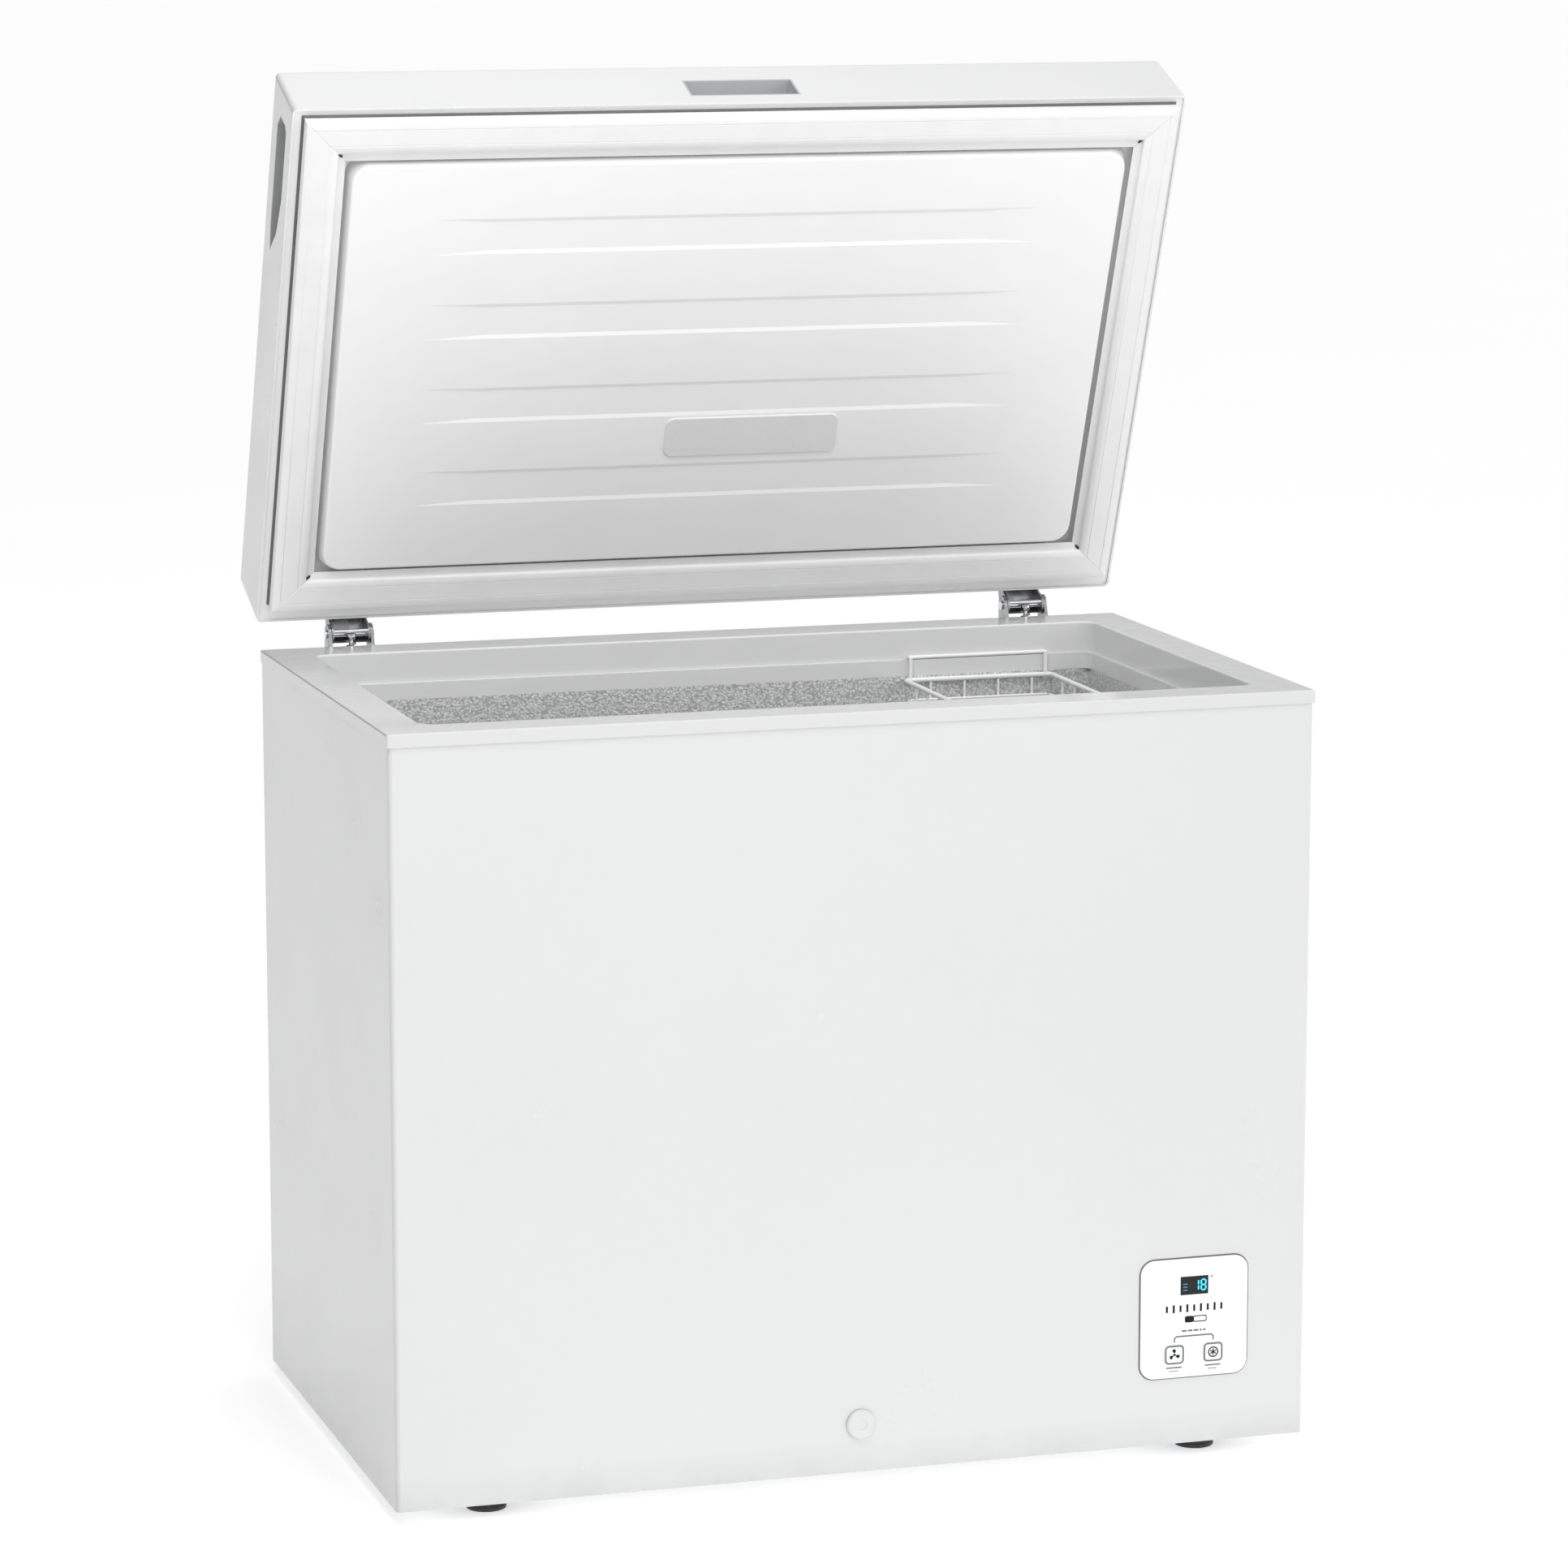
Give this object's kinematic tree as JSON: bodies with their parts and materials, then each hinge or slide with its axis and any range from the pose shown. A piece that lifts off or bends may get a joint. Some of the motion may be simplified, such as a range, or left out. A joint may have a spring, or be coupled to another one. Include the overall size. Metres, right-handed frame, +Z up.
{
  "type": "chest freezer",
  "caption": "White chest freezer with its insulated lid standing open, a hung wire basket, a front control panel and a drain cap.",
  "frame": {"origin": "on the floor under the middle of the whole object with the lid open as stored", "axes": "+Z up, +Y towards the back where the hinges are, +X to the right of someone facing the front"},
  "size_m": [0.905, 0.6485, 1.3202],
  "materials": {
    "white_enamel": "glossy",
    "white_plastic": "glossy",
    "lid_plastic": "satin",
    "stucco_aluminium": "embossed",
    "zinc_steel": "zinc plated",
    "bright_steel": "bright",
    "spring_steel": "oiled",
    "foam": "foam",
    "gasket_rubber": "satin",
    "dark_rubber": "matte",
    "grey_plastic": "matte",
    "black_plastic": "matte",
    "dark_window": "glossy",
    "lens": "frosted",
    "board": "solder mask",
    "black_paint": "satin",
    "copper": "drawn",
    "coated_wire": "powder coated wire"
  },
  "bodies": {
    "cabinet": {"cabinet_wrap": "white_enamel", "rear_panel": "zinc_steel", "bottom_panel": "zinc_steel", "machine_base": "zinc_steel", "machine_bulkhead": "zinc_steel", "service_cover": "zinc_steel", "service_cover_screws": "bright_steel", "cord_gland": "black_plastic", "side_grille": "grey_plastic", "inner_liner": "stucco_aluminium", "cabinet_foam": "foam", "top_frame": "white_plastic", "evaporator_coil": "copper", "condenser_coil": "copper", "compressor": "black_paint", "compressor_mount_plate": "zinc_steel", "compressor_grommets": "dark_rubber", "compressor_bolts": "bright_steel", "start_relay_cover": "black_plastic", "discharge_line": "copper", "suction_line": "copper", "filter_drier": "copper", "capillary_line": "copper", "control_fascia": "white_plastic", "display_window": "dark_window", "control_housing": "white_plastic", "control_board": "board", "display_module": "black_plastic", "key_switches": "black_plastic", "drain_elbow": "white_plastic", "feet": "dark_rubber", "foot_bolts": "bright_steel", "foot_plates": "zinc_steel", "hinge_bracket_left": "zinc_steel", "hinge_bracket_right": "zinc_steel", "hinge_pins": "bright_steel", "hinge_bracket_screws": "bright_steel", "hinge_spring_left": "spring_steel", "hinge_spring_right": "spring_steel"},
    "lid": {"lid_shell": "lid_plastic", "handle_insert": "grey_plastic", "lid_liner": "lid_plastic", "lid_foam": "foam", "lid_gasket": "gasket_rubber", "lamp_lens": "lens", "lamp_housing": "white_plastic", "lamp_board": "board", "hinge_leaf_left": "zinc_steel", "hinge_leaf_right": "zinc_steel", "hinge_leaf_screws": "bright_steel", "hinge_rollers": "bright_steel"},
    "basket": {"basket_rim": "coated_wire", "basket_hangers": "coated_wire", "basket_cage": "coated_wire"},
    "fan_button": {"fan_button": "white_plastic"},
    "mode_button": {"mode_button": "white_plastic"},
    "drain_cap": {"drain_cap": "white_plastic"},
    "drain_plug": {"drain_plug": "dark_rubber"},
    "plunger_left": {"hinge_plunger_left": "bright_steel"},
    "plunger_right": {"hinge_plunger_right": "bright_steel"}
  },
  "joints": [
    {"name": "lid_hinge", "type": "hinge", "parent": "cabinet", "child": "lid", "pos_m": [0, 0.2455, 0.755], "axis": [-1, 0, 0], "range_deg": [-68, 12]},
    {"name": "basket_slide", "type": "slide", "parent": "cabinet", "child": "basket", "axis": [1, 0, 0], "range_m": [-0.56, 0.02]},
    {"name": "fan_button_press", "type": "slide", "parent": "cabinet", "child": "fan_button", "axis": [0, 1, 0], "range_m": [0, 0.0008], "stiffness_N_per_m": 1200},
    {"name": "mode_button_press", "type": "slide", "parent": "cabinet", "child": "mode_button", "axis": [0, 1, 0], "range_m": [0, 0.0008], "stiffness_N_per_m": 1200},
    {"name": "drain_cap_pull", "type": "slide", "parent": "cabinet", "child": "drain_cap", "axis": [0, -1, 0], "range_m": [0, 0.03]},
    {"name": "drain_plug_lift", "type": "slide", "parent": "cabinet", "child": "drain_plug", "axis": [0, 0, 1], "range_m": [0, 0.03]},
    {"name": "plunger_left_slide", "type": "slide", "parent": "cabinet", "child": "plunger_left", "axis": [0, 0, 1], "range_m": [-0.00864, 0.0025], "deforming": ["hinge_spring_left"]},
    {"name": "plunger_right_slide", "type": "slide", "parent": "cabinet", "child": "plunger_right", "axis": [0, 0, 1], "range_m": [-0.00864, 0.0025], "deforming": ["hinge_spring_right"]}
  ],
  "couplings": [
    {"joint": "plunger_left_slide", "follows": "lid_hinge", "m_per_rad": 0.007029},
    {"joint": "plunger_right_slide", "follows": "lid_hinge", "m_per_rad": 0.007029}
  ]
}
